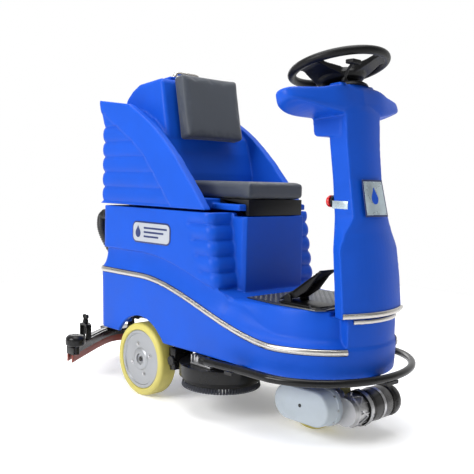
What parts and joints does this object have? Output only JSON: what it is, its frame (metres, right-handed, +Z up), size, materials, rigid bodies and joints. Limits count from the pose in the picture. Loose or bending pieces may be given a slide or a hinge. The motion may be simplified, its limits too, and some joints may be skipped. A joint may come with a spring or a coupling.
{
  "type": "ride-on floor scrubber",
  "caption": "Ride-on floor scrubber with two disc brushes, a lifting squeegee, a tilting recovery tank under the seat and a steered front drive wheel.",
  "frame": {"origin": "bottom centre of the bounding box: on the floor, on the centre plane, midway along the length", "axes": "+X forward, +Y to the machine's left, +Z up"},
  "size_m": [1.5674, 0.78, 1.2621],
  "materials": {
    "blue": "satin moulded",
    "black": "satin",
    "dark": "satin",
    "frame": "satin powder coat",
    "cushion": "matte vinyl",
    "chrome": "polished",
    "aluminium": "cast",
    "steel": "brushed",
    "cover": "grey enamel",
    "grey": "worn",
    "tyre": "polyurethane, matte",
    "bristle": "nylon bristle",
    "blade": "matte",
    "hose": "ribbed",
    "mat": "checker plate",
    "red": "gloss"
  },
  "bodies": {
    "chassis": {"main_body": "blue", "steering_column": "blue", "steering_cowl": "black", "chassis_frame": "frame", "rear_axle": "steel", "bumper": "black", "trim_right": "chrome", "trim_left": "chrome", "column_trim": "chrome", "nose_trim": "chrome", "front_plate": "chrome", "floor_mat": "mat", "pedal_base": "black", "battery_rear": "black", "battery_front": "black", "vacuum_motor": "dark", "motor_controller": "aluminium", "suction_elbow": "black", "suction_hose": "hose", "stop_housing": "black", "control_panel": "black", "steering_bearing": "steel"},
    "tank": {"recovery_tank": "blue", "seat_cushion": "cushion", "backrest": "cushion", "seat_base": "black"},
    "lid": {"tank_lid": "blue", "lid_handle": "grey"},
    "wheel": {"steering_rim": "black", "steering_hub": "black", "steering_shaft": "steel"},
    "drive": {"steering_fork": "frame", "gearbox": "aluminium", "gear_cover": "cover", "motor_flange": "aluminium", "drive_motor": "dark"},
    "drive_wheel": {"drive_tyre": "tyre", "drive_hub": "aluminium"},
    "rear_right": {"rear_tyre_right": "tyre", "rear_hub_right": "aluminium"},
    "rear_left": {"rear_tyre_left": "tyre", "rear_hub_left": "aluminium"},
    "deck": {"brush_deck": "black", "deck_bracket": "aluminium", "brush_motor_right": "dark", "brush_motor_left": "dark"},
    "brush_right": {"brush_right": "bristle"},
    "brush_left": {"brush_left": "bristle"},
    "arm": {"squeegee_arm": "black"},
    "squeegee": {"squeegee_body": "black", "squeegee_blade": "blade"},
    "roller_right": {"roller_right": "black"},
    "roller_left": {"roller_left": "black"},
    "knob_right": {"knob_right": "black"},
    "knob_left": {"knob_left": "black"},
    "pedal": {"pedal_plate": "black"},
    "stop": {"stop_button": "red"},
    "lever": {"drive_lever": "black"},
    "key": {"key_switch": "steel"}
  },
  "joints": [
    {"name": "tank_tilt", "type": "hinge", "parent": "chassis", "child": "tank", "pos_m": [-0.48175, 0, 0.726], "axis": [0, -1, 0], "range_deg": [0, 60]},
    {"name": "lid_open", "type": "hinge", "parent": "tank", "child": "lid", "pos_m": [-0.32275, 0, 1.2045], "axis": [0, -1, 0], "range_deg": [0, 100]},
    {"name": "steering_turn", "type": "hinge", "parent": "chassis", "child": "wheel", "pos_m": [0.51625, 0, 1.21], "axis": [-0.2487, 0, 0.9686], "range_deg": [-150, 150]},
    {"name": "drive_steer", "type": "hinge", "parent": "chassis", "child": "drive", "pos_m": [0.47225, 0, 0.256], "axis": [0, 0, 1], "range_deg": [-60, 60]},
    {"name": "drive_spin", "type": "hinge", "parent": "drive", "child": "drive_wheel", "pos_m": [0.47225, 0, 0.117], "axis": [0, 1, 0], "continuous": true},
    {"name": "rear_spin_right", "type": "hinge", "parent": "chassis", "child": "rear_right", "pos_m": [-0.19875, -0.225, 0.14], "axis": [0, 1, 0], "continuous": true},
    {"name": "rear_spin_left", "type": "hinge", "parent": "chassis", "child": "rear_left", "pos_m": [-0.19875, 0.225, 0.14], "axis": [0, 1, 0], "continuous": true},
    {"name": "deck_lift", "type": "slide", "parent": "chassis", "child": "deck", "axis": [0, 0, 1], "range_m": [-0.097, 0]},
    {"name": "brush_spin_right", "type": "hinge", "parent": "deck", "child": "brush_right", "pos_m": [0.14625, -0.148, 0.12], "axis": [0, 0, 1], "continuous": true},
    {"name": "brush_spin_left", "type": "hinge", "parent": "deck", "child": "brush_left", "pos_m": [0.14625, 0.148, 0.12], "axis": [0, 0, 1], "continuous": true},
    {"name": "squeegee_lift", "type": "hinge", "parent": "chassis", "child": "arm", "pos_m": [-0.43375, 0, 0.262], "axis": [0, -1, 0], "range_deg": [0, 18], "deforming": ["suction_hose"]},
    {"name": "squeegee_level", "type": "hinge", "parent": "arm", "child": "squeegee", "pos_m": [-0.69875, 0, 0.19], "axis": [0, -1, 0], "range_deg": [-18, 0]},
    {"name": "roller_spin_right", "type": "hinge", "parent": "squeegee", "child": "roller_right", "pos_m": [-0.51553, -0.35, 0.165], "axis": [0, 0, 1], "continuous": true},
    {"name": "roller_spin_left", "type": "hinge", "parent": "squeegee", "child": "roller_left", "pos_m": [-0.51553, 0.35, 0.165], "axis": [0, 0, 1], "continuous": true},
    {"name": "knob_turn_right", "type": "hinge", "parent": "squeegee", "child": "knob_right", "pos_m": [-0.61743, -0.24, 0.22], "axis": [0, 0, 1], "range_deg": [-180, 180]},
    {"name": "knob_turn_left", "type": "hinge", "parent": "squeegee", "child": "knob_left", "pos_m": [-0.61743, 0.24, 0.22], "axis": [0, 0, 1], "range_deg": [-180, 180]},
    {"name": "pedal_press", "type": "hinge", "parent": "chassis", "child": "pedal", "pos_m": [0.47325, -0.12, 0.462], "axis": [0, 1, 0], "range_deg": [0, 14], "stiffness_Nm_per_rad": 2, "springref_deg": -22.92},
    {"name": "stop_press", "type": "slide", "parent": "chassis", "child": "stop", "axis": [1, 0, 0], "range_m": [0, 0.0055]},
    {"name": "lever_tilt", "type": "hinge", "parent": "chassis", "child": "lever", "pos_m": [0.60125, -0.075, 1.1562], "axis": [0, 1, 0], "range_deg": [-8, 8]},
    {"name": "key_turn", "type": "hinge", "parent": "chassis", "child": "key", "pos_m": [0.50757, 0.1, 1.13163], "axis": [-0.2334, 0, 0.9724], "range_deg": [0, 90]}
  ],
  "couplings": [
    {"joint": "drive_steer", "follows": "steering_turn", "ratio": 0.4},
    {"joint": "squeegee_level", "follows": "squeegee_lift", "ratio": -1}
  ]
}
